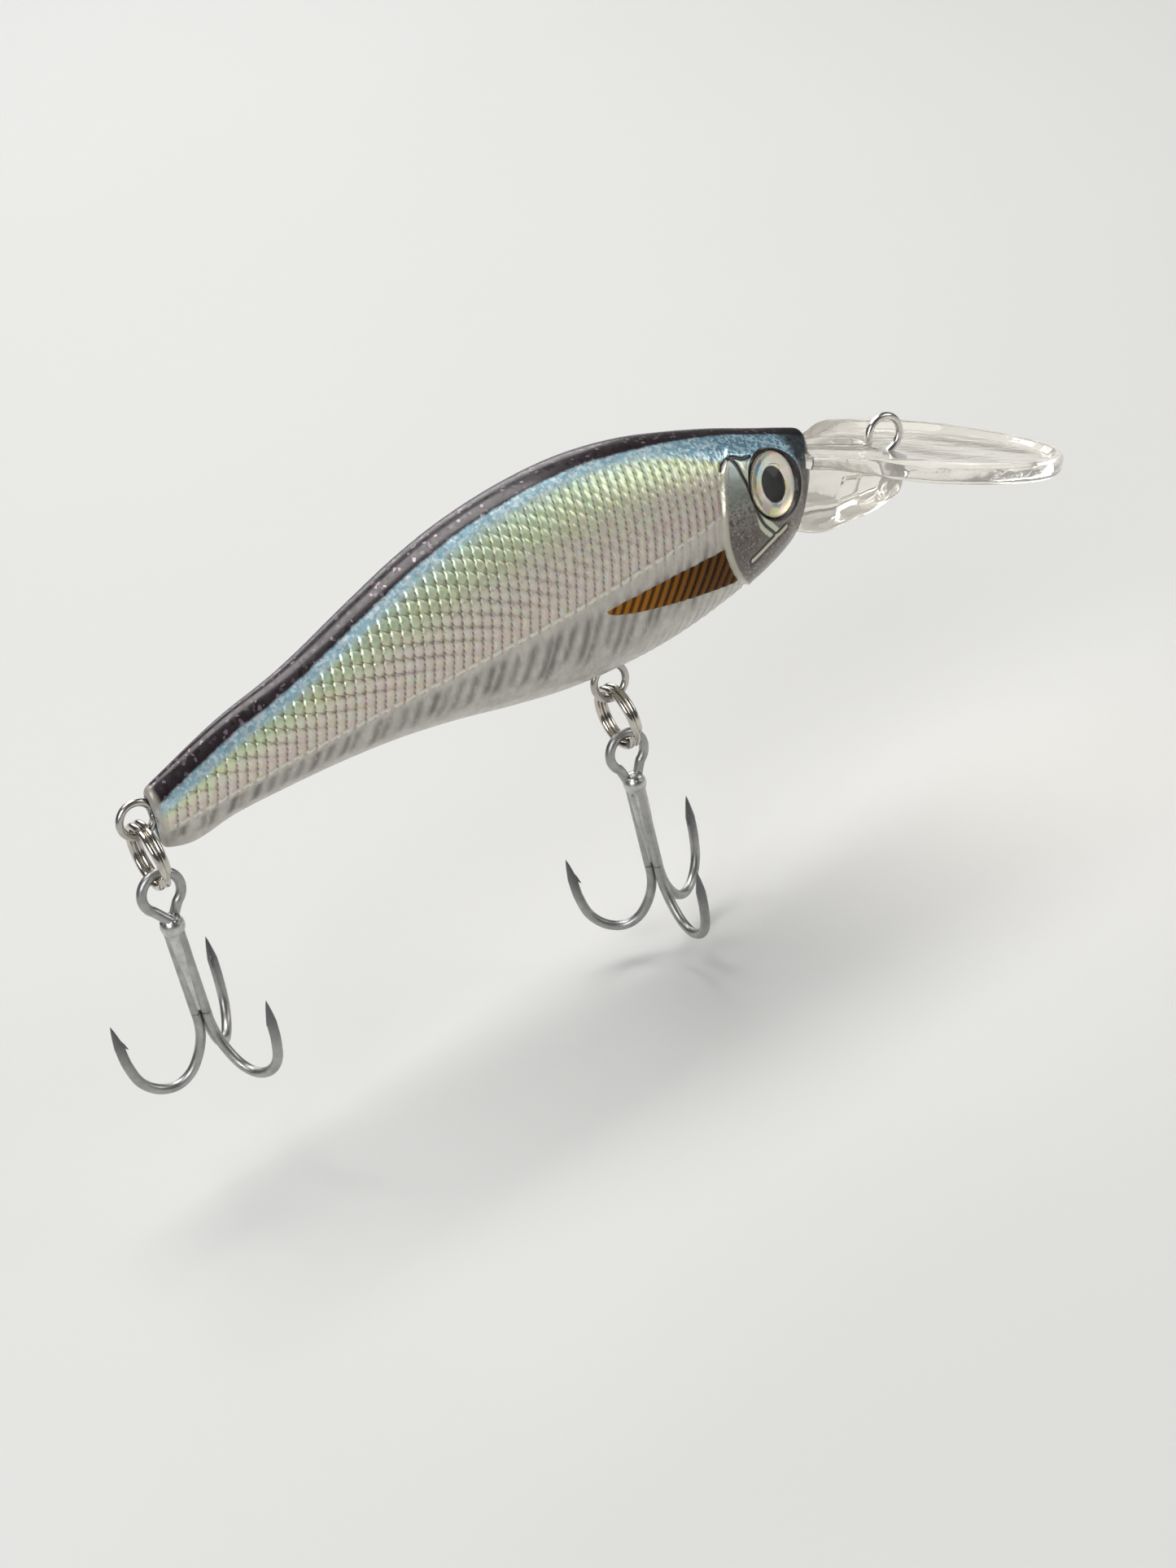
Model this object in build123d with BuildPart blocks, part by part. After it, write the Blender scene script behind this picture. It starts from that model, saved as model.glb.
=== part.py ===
from build123d import *
import math
import os

os.makedirs("parts", exist_ok=True)

# Deep-diving shad crankbait. Millimetres, +X towards the nose, +Y left, +Z up.
# The origin is the centre of the line-tie loop, on the mid-plane.

# --- body: hollow moulded halves ---
wall = 1.2
# station along the body, back height, belly height, half width
body_stations = [
    (-72.6, 0.5, -4.1, 0.9),
    (-71.4, 1.1, -5.2, 1.5),
    (-66.1, 3.0, -4.8, 2.0),
    (-59.1, 4.9, -4.6, 2.7),
    (-51.1, 7.7, -5.1, 3.6),
    (-43.5, 10.1, -6.4, 4.5),
    (-36.1, 11.3, -8.0, 5.2),
    (-29.1, 11.2, -8.3, 5.4),
    (-21.1, 9.2, -7.4, 5.3),
    (-16.1, 7.4, -6.0, 4.9),
    (-11.8, 5.6, -5.2, 4.2),
    (-6.0, 3.3, -3.9, 3.2),
]
hollow_stations = [
    (-65.0, 3.4 - wall, -4.7 + wall, 0.9),
    (-59.1, 4.9 - wall, -4.6 + wall, 2.7 - wall),
    (-51.1, 7.7 - wall, -5.1 + wall, 3.6 - wall),
    (-43.5, 10.1 - wall, -6.4 + wall, 4.5 - wall),
    (-36.1, 11.3 - wall, -8.0 + wall, 5.2 - wall),
    (-29.1, 11.2 - wall, -8.3 + wall, 5.4 - wall),
    (-21.1, 9.2 - wall, -7.4 + wall, 5.3 - wall),
    (-18.0, 8.1 - wall, -6.5 + wall, 5.1 - wall),
]
fit_gap = 0.02

# --- locating pins between the halves: position, stud radius ---
locating_pins = [(-57.0, 0.3), (-42.0, 6.8), (-20.6, 4.6)]
pin_radius = 0.7
boss_radius = 1.4
pin_length = 1.4

# --- ballast in the belly ---
ballast_radius = 2.2
ballast_length = 7.4
ballast_centre = (-24.0, 0.0, -3.9)
ballast_rib_thickness = 1.2
ballast_rib_spacing = 4.4
ballast_rib_top = -2.4

# --- diving lip ---
lip_slope = 24.0
lip_root = (-8.1, 0.0, 1.65)
lip_thickness = 1.1
lip_rim_height = 0.6
lip_rim_width = 1.5
# distance out from the head, half width
lip_outline = [
    (0.0, 3.7),
    (3.0, 5.0),
    (6.0, 7.0),
    (9.0, 8.0),
    (13.0, 8.3),
    (17.0, 8.0),
    (21.0, 6.9),
    (24.6, 4.7),
]
lip_length = 27.3
block_half_width = 3.5
# side outline of the chin block, out from the head and square to the lip
block_outline = [(0.0, 0.3), (0.0, -6.5), (8.4, -3.0), (9.3, -0.5), (9.3, 0.3)]
tongue_length = 6.0
tongue_half_width = 1.9
tongue_top = -1.7
tongue_thickness = 1.6

# --- wires ---
hanger_wire = 0.325
line_tie_bend = 1.62
line_leg_drops = (0.10, 0.58)
line_leg_back = 4.0
line_foot = 1.5
belly_loop_bend = 1.55
belly_loop_centre = (-31.2, 0.0, -9.6)
belly_stem_top = -5.4
belly_foot = 2.4
tail_loop_bend = 1.45
tail_loop_centre = (-73.8, 0.0, -1.4)
tail_stem_front = -67.6
tail_foot = 1.3
stem_half_gap = 0.28

# --- eyes ---
eye_centre = (-13.9, 4.3, 2.6)
eye_normal = (0.30, 0.93, 0.20)
eye_radius = 2.95
eye_socket_radius = 3.02
eye_socket_depth = 0.75
eye_foil_thickness = 0.25
eye_pupil_size = (1.35, 1.45)
eye_pupil_thickness = 0.1
eye_dome_height = 1.25

# --- split rings ---
ring_wire = 0.30
ring_bend = 2.65
ring_pitch = 0.62
ring_play = 0.17

# --- treble hooks ---
hook_wire = 0.425
hook_offset = 0.50
hook_eye_bend = 1.70
hook_start = -1.72
third_start = -2.30
hook_straight = -12.2
hook_bottom = -16.95
hook_reach = 7.2
hook_point = -10.9
point_length = 1.7
bead_centre = -3.2
bead_radius = 1.05
braze_bottom = -11.6
braze_radius = 0.66
eye_play = 0.12
belly_hook_angles = (-90.0, 30.0, 150.0)
tail_hook_angles = (176.0, 56.0, -64.0)

slope = math.radians(lip_slope)
lip_plane = Plane(
    origin=lip_root,
    x_dir=(math.cos(slope), 0, -math.sin(slope)),
    z_dir=(math.sin(slope), 0, math.cos(slope)),
)


def half_section(x, back, belly, half_width, side):
    """Closed outline of one side of a cross-section, back to belly."""
    middle = (back + belly) / 2
    rise = (back - belly) / 2
    plane = Plane(origin=(x, 0, 0), x_dir=(0, 1, 0), z_dir=(1, 0, 0))
    with BuildSketch(plane) as section:
        with BuildLine():
            Spline(
                (0, back),
                (side * 0.56 * half_width, middle + 0.80 * rise),
                (side * 0.93 * half_width, middle + 0.36 * rise),
                (side * half_width, middle - 0.06 * rise),
                (side * 0.92 * half_width, middle - 0.48 * rise),
                (side * 0.60 * half_width, middle - 0.83 * rise),
                (0, belly),
                tangents=((side, 0), (-side, 0)),
            )
            Line((0, belly), (0, back))
        make_face()
    return section.sketch


def rod(start, end, radius, mode=Mode.ADD):
    """Straight round wire between two points."""
    run = Vector(*end) - Vector(*start)
    with BuildSketch(Plane(origin=start, z_dir=run)) as disc:
        Circle(radius)
    extrude(disc.sketch, amount=run.length, mode=mode)


def line_tie_shape(radius, mode=Mode.ADD):
    """Line-tie loop with its two legs run back inside the lip and head."""
    with Locations(Plane(origin=(0, 0, 0), z_dir=(0, 1, 0))):
        Torus(line_tie_bend, radius, mode=mode)
    loop = lip_plane.to_local_coords(Vector(0, 0, 0))
    for drop in line_leg_drops:
        height = loop.Z - line_tie_bend - drop
        near = lip_plane.from_local_coords(Vector(loop.X, 0, height))
        far = lip_plane.from_local_coords(Vector(-line_leg_back, 0, height))
        rod(tuple(near), tuple(far), radius, mode)
    height = loop.Z - line_tie_bend
    top = lip_plane.from_local_coords(Vector(radius - line_leg_back, 0, height))
    foot = lip_plane.from_local_coords(Vector(radius - line_leg_back, 0, height + line_foot))
    rod(tuple(top), tuple(foot), radius, mode)


def belly_hanger_shape(radius, mode=Mode.ADD):
    """Belly loop with two stems up into the body and a foot each way."""
    x, y, z = belly_loop_centre
    with Locations(Plane(origin=(x, y, z), z_dir=(0, 1, 0))):
        Torus(belly_loop_bend, radius, mode=mode)
    for side in (-1, 1):
        stem = x + side * stem_half_gap
        low = (stem, 0, z + belly_loop_bend)
        high = (stem, 0, belly_stem_top)
        rod(low, high, radius, mode)
        rod(
            (stem, 0, belly_stem_top - radius),
            (stem + side * belly_foot, 0, belly_stem_top - radius),
            radius,
            mode,
        )


def tail_hanger_shape(radius, mode=Mode.ADD):
    """Tail loop with two legs forward into the tail and a foot each way."""
    x, y, z = tail_loop_centre
    with Locations(Plane(origin=(x, y, z), z_dir=(0, 1, 0))):
        Torus(tail_loop_bend, radius, mode=mode)
    for side in (-1, 1):
        height = z + side * stem_half_gap
        rod((x + tail_loop_bend, 0, height), (tail_stem_front, 0, height), radius, mode)
        rod(
            (tail_stem_front - radius, 0, height),
            (tail_stem_front - radius, 0, height + side * tail_foot),
            radius,
            mode,
        )


def eye_plane(side, lift):
    """Plane of an eye, lifted from the socket floor along its normal."""
    x, y, z = eye_centre
    nx, ny, nz = eye_normal
    normal = Vector(nx, side * ny, nz).normalized()
    origin = Vector(x, side * y, z) + normal * (lift - eye_socket_depth)
    return Plane(origin=origin, x_dir=(1, 0, 0), z_dir=normal)


def hollow_half(side):
    """Hollow of one half, with the bosses, ribs and wire pads left standing."""
    loft([half_section(*station, side) for station in hollow_stations])
    for x, z in locating_pins:
        with Locations(Plane(origin=(x, 0, z), z_dir=(0, 1, 0))):
            Cylinder(boss_radius, 14, mode=Mode.SUBTRACT)
    x, y, z = ballast_centre
    for offset in (-ballast_rib_spacing / 2, ballast_rib_spacing / 2):
        with Locations((x + offset, 0, ballast_rib_top - 5)):
            Box(ballast_rib_thickness, 14, 10, mode=Mode.SUBTRACT)
    with Locations((belly_loop_centre[0], 0, belly_stem_top - 4.4)):
        Box(8.4, 2.6, 10, mode=Mode.SUBTRACT)
    with Locations((-64.5, 0, tail_loop_centre[2])):
        Box(8.0, 14, 14, mode=Mode.SUBTRACT)


def solid_half(side, hollow):
    """Outer skin of one half less its hollow, lip slot, eye socket and wires."""
    loft([half_section(*station, side) for station in body_stations])
    add(hollow, mode=Mode.SUBTRACT)
    with Locations(lip_plane):
        with Locations((10, 0, 0)):
            Box(20, 20, 40, mode=Mode.SUBTRACT)
        with Locations((0, 0, tongue_top - tongue_thickness / 2)):
            Box(
                2 * tongue_length + 2 * fit_gap,
                2 * tongue_half_width + 2 * fit_gap,
                tongue_thickness + 2 * fit_gap,
                mode=Mode.SUBTRACT,
            )
    with BuildSketch(eye_plane(side, 0)) as socket:
        Circle(eye_socket_radius)
    extrude(socket.sketch, amount=4, mode=Mode.SUBTRACT)
    x, y, z = ballast_centre
    rod(
        (x - ballast_length / 2 - fit_gap, y, z),
        (x + ballast_length / 2 + fit_gap, y, z),
        ballast_radius + fit_gap,
        Mode.SUBTRACT,
    )
    line_tie_shape(hanger_wire + fit_gap, Mode.SUBTRACT)
    belly_hanger_shape(hanger_wire + fit_gap, Mode.SUBTRACT)
    tail_hanger_shape(hanger_wire + fit_gap, Mode.SUBTRACT)


# body halves
with BuildPart() as hollow_right:
    hollow_half(-1)

with BuildPart() as hollow_left:
    hollow_half(1)

with BuildPart() as body_shell_right:
    solid_half(-1, hollow_right.part)
    for x, z in locating_pins:
        rod((x, -0.5, z), (x, pin_length, z), pin_radius)

with BuildPart() as body_shell_left:
    solid_half(1, hollow_left.part)
    for x, z in locating_pins:
        rod(
            (x, 0, z),
            (x, pin_length + 0.1, z),
            pin_radius + fit_gap,
            Mode.SUBTRACT,
        )

# ballast
with BuildPart() as ballast_weight:
    x, y, z = ballast_centre
    rod((x - ballast_length / 2, y, z), (x + ballast_length / 2, y, z), ballast_radius)
    chamfer(ballast_weight.edges().filter_by(GeomType.CIRCLE), 0.4)

# diving lip with its chin block and tongue
with BuildPart() as diving_lip:
    with BuildSketch(lip_plane.offset(-lip_thickness / 2)):
        with BuildLine():
            left = [(s, w) for s, w in lip_outline]
            right = [(s, -w) for s, w in reversed(lip_outline)]
            Spline(*left, (lip_length, 0), *right)
            Line((0, -lip_outline[0][1]), (0, lip_outline[0][1]))
        make_face()
    extrude(amount=lip_thickness + lip_rim_height)
    fillet(diving_lip.faces().sort_by(Axis.Z)[-1].edges().sort_by(Axis.X)[-1], 0.35)
    with BuildSketch(lip_plane.offset(lip_thickness / 2)):
        with BuildLine():
            inner = [(s, w - lip_rim_width) for s, w in lip_outline[1:]]
            left = [(-1.0, 2.2)] + inner
            right = [(s, -w) for s, w in reversed(left)]
            Spline(*left, (lip_length - lip_rim_width, 0), *right)
            Line((-1.0, -2.2), (-1.0, 2.2))
        make_face()
    extrude(amount=lip_rim_height + 1, mode=Mode.SUBTRACT)
    with BuildSketch(Plane(origin=lip_root, x_dir=lip_plane.x_dir, z_dir=(0, -1, 0))):
        Polygon(*block_outline, align=None)
    extrude(amount=block_half_width, both=True)
    with Locations(lip_plane):
        with Locations((1 - tongue_length / 2, 0, tongue_top - tongue_thickness / 2)):
            Box(tongue_length + 2, 2 * tongue_half_width, tongue_thickness)
    line_tie_shape(hanger_wire + fit_gap, Mode.SUBTRACT)

# wires
with BuildPart() as line_tie_wire:
    line_tie_shape(hanger_wire)

with BuildPart() as belly_hanger_wire:
    belly_hanger_shape(hanger_wire)

with BuildPart() as tail_hanger_wire:
    tail_hanger_shape(hanger_wire)

# eyes
eyes = {}
for side_name, side in (("right", -1), ("left", 1)):
    with BuildPart() as eye_foil:
        with BuildSketch(eye_plane(side, fit_gap)):
            Circle(eye_radius)
        extrude(amount=eye_foil_thickness - fit_gap)
    with BuildPart() as eye_pupil:
        with BuildSketch(eye_plane(side, eye_foil_thickness)):
            Ellipse(*eye_pupil_size)
        extrude(amount=eye_pupil_thickness)
    dome_radius = (eye_radius**2 + eye_dome_height**2) / (2 * eye_dome_height)
    with BuildPart() as eye_lens:
        with BuildSketch(eye_plane(side, eye_foil_thickness)):
            Circle(eye_radius)
        extrude(amount=eye_dome_height)
        with Locations(eye_plane(side, eye_foil_thickness + eye_dome_height - dome_radius)):
            Sphere(dome_radius, mode=Mode.INTERSECT)
        with BuildSketch(eye_plane(side, eye_foil_thickness)):
            Ellipse(*eye_pupil_size)
        extrude(amount=eye_pupil_thickness, mode=Mode.SUBTRACT)
    eyes["eye_foil_" + side_name] = eye_foil
    eyes["eye_pupil_" + side_name] = eye_pupil
    eyes["eye_lens_" + side_name] = eye_lens


def split_ring(x, centre_height):
    """Two close turns of wire about the X axis."""
    with BuildLine() as coil:
        Helix(
            pitch=ring_pitch,
            height=2 * ring_pitch,
            radius=ring_bend,
            center=(x - ring_pitch, 0, centre_height),
            direction=(1, 0, 0),
        )
    with BuildSketch(Plane(origin=coil.line @ 0, z_dir=coil.line % 0)) as disc:
        Circle(ring_wire)
    sweep(disc.sketch, path=coil.line, is_frenet=True)


belly_ring_z = (
    belly_loop_centre[2] - belly_loop_bend + hanger_wire + ring_play + ring_wire - ring_bend
)
tail_ring_z = (
    tail_loop_centre[2] - tail_loop_bend + hanger_wire + ring_play + ring_wire - ring_bend
)
with BuildPart() as belly_split_ring:
    split_ring(belly_loop_centre[0], belly_ring_z)

with BuildPart() as tail_split_ring:
    split_ring(tail_loop_centre[0], tail_ring_z)


def hook_blank(top):
    """One hook in the XZ plane: shank, bend, cone point and barb."""
    gape = hook_reach - hook_offset
    with BuildLine(Plane.XZ) as path:
        Line((hook_offset, top), (hook_offset, hook_straight))
        Spline(
            (hook_offset, hook_straight),
            (hook_offset + 0.13 * gape, hook_bottom + 1.85),
            (hook_offset + 0.50 * gape, hook_bottom),
            (hook_offset + 0.90 * gape, hook_bottom + 1.60),
            (hook_reach, hook_bottom + 3.75),
            (hook_reach + 0.15, hook_point),
            tangents=((0, -1), (0.06, 1.0)),
        )
    with BuildSketch(Plane(origin=(hook_offset, 0, top), z_dir=(0, 0, -1))) as disc:
        Circle(hook_wire)
    sweep(disc.sketch, path=path.line)
    with Locations(Plane(origin=path.line @ 1, z_dir=path.line % 1)):
        Cone(hook_wire, 0.06, point_length, align=(Align.CENTER, Align.CENTER, Align.MIN))
    root = Vector(hook_reach + 0.05, 0, hook_point + 0.35)
    with Locations(Plane(origin=root, z_dir=(-0.62, 0, -1))):
        Cone(0.22, 0.04, 0.95, align=(Align.CENTER, Align.CENTER, Align.MIN))


with BuildPart() as pair_hook:
    hook_blank(hook_start)

with BuildPart() as third_hook:
    hook_blank(third_start)


def treble_place(x, ring_height):
    """Centre of the treble's eye, hung in the ring."""
    height = ring_height - ring_bend + ring_wire + eye_play + hook_wire - hook_eye_bend
    return Location((x, 0, height))


trebles = {}
for name, x, ring_height, angles in (
    ("belly", belly_loop_centre[0], belly_ring_z, belly_hook_angles),
    ("tail", tail_loop_centre[0], tail_ring_z, tail_hook_angles),
):
    place = treble_place(x, ring_height)
    with BuildPart() as treble_pair:
        with Locations(place * Location(Plane.XZ)):
            Torus(hook_eye_bend, hook_wire)
        for angle in angles[1:]:
            add(pair_hook.part.moved(place * Location((0, 0, 0), (0, 0, angle))))
    with BuildPart() as treble_third:
        add(third_hook.part.moved(place * Location((0, 0, 0), (0, 0, angles[0]))))
    with BuildPart() as treble_braze:
        with Locations(place * Location((0, 0, bead_centre))):
            Sphere(bead_radius)
        with Locations(place * Location((0, 0, (bead_centre + braze_bottom) / 2))):
            Cylinder(braze_radius, bead_centre - braze_bottom)
            Cylinder(0.26, 20, mode=Mode.SUBTRACT)
        for angle in angles:
            a = math.radians(angle)
            shift = Location((hook_offset * math.cos(a), hook_offset * math.sin(a), -8))
            with Locations(place * shift):
                Cylinder(hook_wire + 0.012, 14, mode=Mode.SUBTRACT)
    trebles[name + "_treble_pair"] = treble_pair
    trebles[name + "_treble_third"] = treble_third
    trebles[name + "_treble_braze"] = treble_braze

pieces = {
    "body_shell_right": body_shell_right,
    "body_shell_left": body_shell_left,
    "ballast_weight": ballast_weight,
    "diving_lip": diving_lip,
    "line_tie_wire": line_tie_wire,
    "belly_hanger_wire": belly_hanger_wire,
    "tail_hanger_wire": tail_hanger_wire,
    "belly_split_ring": belly_split_ring,
    "tail_split_ring": tail_split_ring,
}
pieces.update(eyes)
pieces.update(trebles)
for name, piece in pieces.items():
    piece.part.label = name
    export_step(piece.part, "parts/" + name + ".step")
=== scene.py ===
import math

import bmesh
import bpy
import numpy as np
from mathutils import Matrix, Vector


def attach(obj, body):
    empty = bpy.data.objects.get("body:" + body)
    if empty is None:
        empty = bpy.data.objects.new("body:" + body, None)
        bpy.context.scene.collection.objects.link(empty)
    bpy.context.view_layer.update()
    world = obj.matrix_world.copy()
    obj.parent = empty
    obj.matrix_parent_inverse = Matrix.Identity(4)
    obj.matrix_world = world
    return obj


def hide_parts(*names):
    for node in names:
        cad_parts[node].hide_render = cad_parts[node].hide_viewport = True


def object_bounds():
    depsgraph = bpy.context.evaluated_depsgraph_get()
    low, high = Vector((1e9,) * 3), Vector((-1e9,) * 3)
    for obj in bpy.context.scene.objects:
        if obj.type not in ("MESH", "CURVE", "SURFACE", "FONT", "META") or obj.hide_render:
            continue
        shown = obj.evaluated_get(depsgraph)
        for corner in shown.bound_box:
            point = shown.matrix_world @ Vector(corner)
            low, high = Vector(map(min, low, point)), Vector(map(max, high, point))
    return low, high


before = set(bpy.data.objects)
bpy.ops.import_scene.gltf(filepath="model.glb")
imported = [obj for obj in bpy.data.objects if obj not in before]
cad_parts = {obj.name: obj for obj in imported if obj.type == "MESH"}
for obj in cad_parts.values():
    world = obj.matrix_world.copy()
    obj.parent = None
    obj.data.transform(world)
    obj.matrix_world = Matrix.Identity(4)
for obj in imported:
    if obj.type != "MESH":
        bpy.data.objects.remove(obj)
cad_box = [list(corner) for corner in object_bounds()]
MM = 0.001
rng = np.random.default_rng(7)

# ---- camera
scene = bpy.context.scene
camera_data = bpy.data.cameras.new("camera")
camera = bpy.data.objects.new("camera", camera_data)
scene.collection.objects.link(camera)
camera_data.lens = 73.2
camera_data.sensor_width = 36.0
camera_data.clip_start = 0.01
camera_data.clip_end = 10.0
CAMERA_RIGHT = Vector((0.8226, -0.5265, -0.2148))
CAMERA_DOWN = Vector((-0.4290, -0.3264, -0.8422))
CAMERA_FORWARD = Vector((0.3733, 0.7850, -0.4944))
CAMERA_PLACE = Vector((-136.1, -211.5, 115.6)) * MM
turn = Matrix((CAMERA_RIGHT, -CAMERA_DOWN, -CAMERA_FORWARD)).transposed()
camera.matrix_world = Matrix.Translation(CAMERA_PLACE) @ turn.to_4x4()
scene.camera = camera


# ---- mesh helpers
def link(obj):
    """Puts an object in the scene and hands it back."""
    scene.collection.objects.link(obj)
    return obj


def mesh_object(name, verts, faces, material=None):
    """Mesh object from millimetre vertices and a list or array of faces."""
    mesh = bpy.data.meshes.new(name)
    verts = np.asarray(verts, dtype=float).reshape(-1, 3) * MM
    if isinstance(faces, np.ndarray):
        count = len(faces)
        mesh.vertices.add(len(verts))
        mesh.vertices.foreach_set("co", verts.ravel())
        mesh.loops.add(count * 4)
        mesh.loops.foreach_set("vertex_index", faces.ravel().astype(np.int32))
        mesh.polygons.add(count)
        mesh.polygons.foreach_set("loop_start", np.arange(0, count * 4, 4, dtype=np.int32))
        mesh.update(calc_edges=True)
    else:
        mesh.from_pydata([tuple(v) for v in verts], [], faces)
    mesh.polygons.foreach_set("use_smooth", np.full(len(mesh.polygons), True))
    mesh.validate()
    if material is not None:
        mesh.materials.append(material)
    return link(bpy.data.objects.new(name, mesh))


def grid_faces(rows, columns, wrap=False):
    """Quads of a rows by columns vertex grid, joined round its columns if wrap."""
    i, j = np.meshgrid(np.arange(rows - 1), np.arange(columns if wrap else columns - 1), indexing="ij")
    i, j = i.ravel(), j.ravel()
    k = (j + 1) % columns
    return np.stack((i * columns + j, i * columns + k, (i + 1) * columns + k, (i + 1) * columns + j), axis=1)


def seal(obj, fill=True, merge=False):
    """Turns all faces outward, after merging doubled vertices and filling the open ends if asked."""
    bm = bmesh.new()
    bm.from_mesh(obj.data)
    if merge:
        bmesh.ops.remove_doubles(bm, verts=bm.verts, dist=0.00001)
    if fill:
        bmesh.ops.holes_fill(bm, edges=[e for e in bm.edges if e.is_boundary], sides=0)
    if merge:
        bmesh.ops.triangulate(bm, faces=[f for f in bm.faces if len(f.verts) > 4])
    bmesh.ops.recalc_face_normals(bm, faces=bm.faces)
    bm.to_mesh(obj.data)
    bm.free()


def float_attribute(obj, name, values):
    """Stores one number for each vertex, for the material to read."""
    layer = obj.data.attributes.new(name, "FLOAT", "POINT")
    layer.data.foreach_set("value", np.ascontiguousarray(values, dtype=np.float32).ravel())


def smooth_at(at, t, p):
    """Values at places between the knots t, whose values are p, on one smooth cubic curve."""
    slope = np.gradient(p, t, axis=0)
    k = np.clip(np.searchsorted(t, at, side="right") - 1, 0, len(t) - 2)
    h = t[k + 1] - t[k]
    u = np.clip((at - t[k]) / h, 0, 1)
    if p.ndim > 1:
        h, u = h[:, None], u[:, None]
    return (
        (2 * u**3 - 3 * u**2 + 1) * p[k]
        + (u**3 - 2 * u**2 + u) * h * slope[k]
        + (-2 * u**3 + 3 * u**2) * p[k + 1]
        + (u**3 - u**2) * h * slope[k + 1]
    )


def smooth_curve(points, samples):
    """Points along a smooth curve through the given points."""
    p = np.asarray(points, dtype=float)
    step = np.linalg.norm(np.diff(p, axis=0), axis=1) ** 0.5
    t = np.concatenate(([0], np.cumsum(step)))
    return smooth_at(np.linspace(0, t[-1], samples), t, p)


def smooth_value(at, table):
    """Smoothly interpolated value of a table of (position, value) rows."""
    x, y = np.asarray(table, dtype=float).T
    return smooth_at(np.asarray(at, dtype=float), x, y)


def tube(name, path, radii, material, sides=20):
    """Round wire along a path, with a radius for each point and closed ends."""
    p = np.asarray(path, dtype=float)
    r = np.broadcast_to(np.asarray(radii, dtype=float), (len(p),))
    tangent = np.gradient(p, axis=0)
    tangent /= np.linalg.norm(tangent, axis=1)[:, None]
    seed = np.array([0.0, 0.0, 1.0]) if abs(tangent[0][2]) < 0.9 else np.array([0.0, 1.0, 0.0])
    normal = np.zeros_like(p)
    n = seed - tangent[0] * np.dot(seed, tangent[0])
    for i, t in enumerate(tangent):
        n = n - t * np.dot(n, t)
        n /= np.linalg.norm(n)
        normal[i] = n
    side = np.cross(tangent, normal)
    a = np.linspace(0, 2 * np.pi, sides, endpoint=False)
    ring = normal[:, None, :] * np.cos(a)[None, :, None] + side[:, None, :] * np.sin(a)[None, :, None]
    verts = p[:, None, :] + ring * r[:, None, None]
    count = len(p)
    faces = grid_faces(count, sides, wrap=True)[:, ::-1]
    verts = verts.reshape(-1, 3)
    faces = [tuple(f) for f in faces.tolist()]
    start = len(verts)
    verts = np.vstack((verts, p[:1], p[-1:]))
    for i in range(sides):
        k = (i + 1) % sides
        faces.append((start, i, k))
        faces.append((start + 1, (count - 1) * sides + k, (count - 1) * sides + i))
    return mesh_object(name, verts, faces, material)


def join(name, objects):
    """One object made of several, which are removed."""
    with bpy.context.temp_override(
        active_object=objects[0], selected_editable_objects=objects, selected_objects=objects
    ):
        bpy.ops.object.join()
    objects[0].name = name
    return objects[0]


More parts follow.
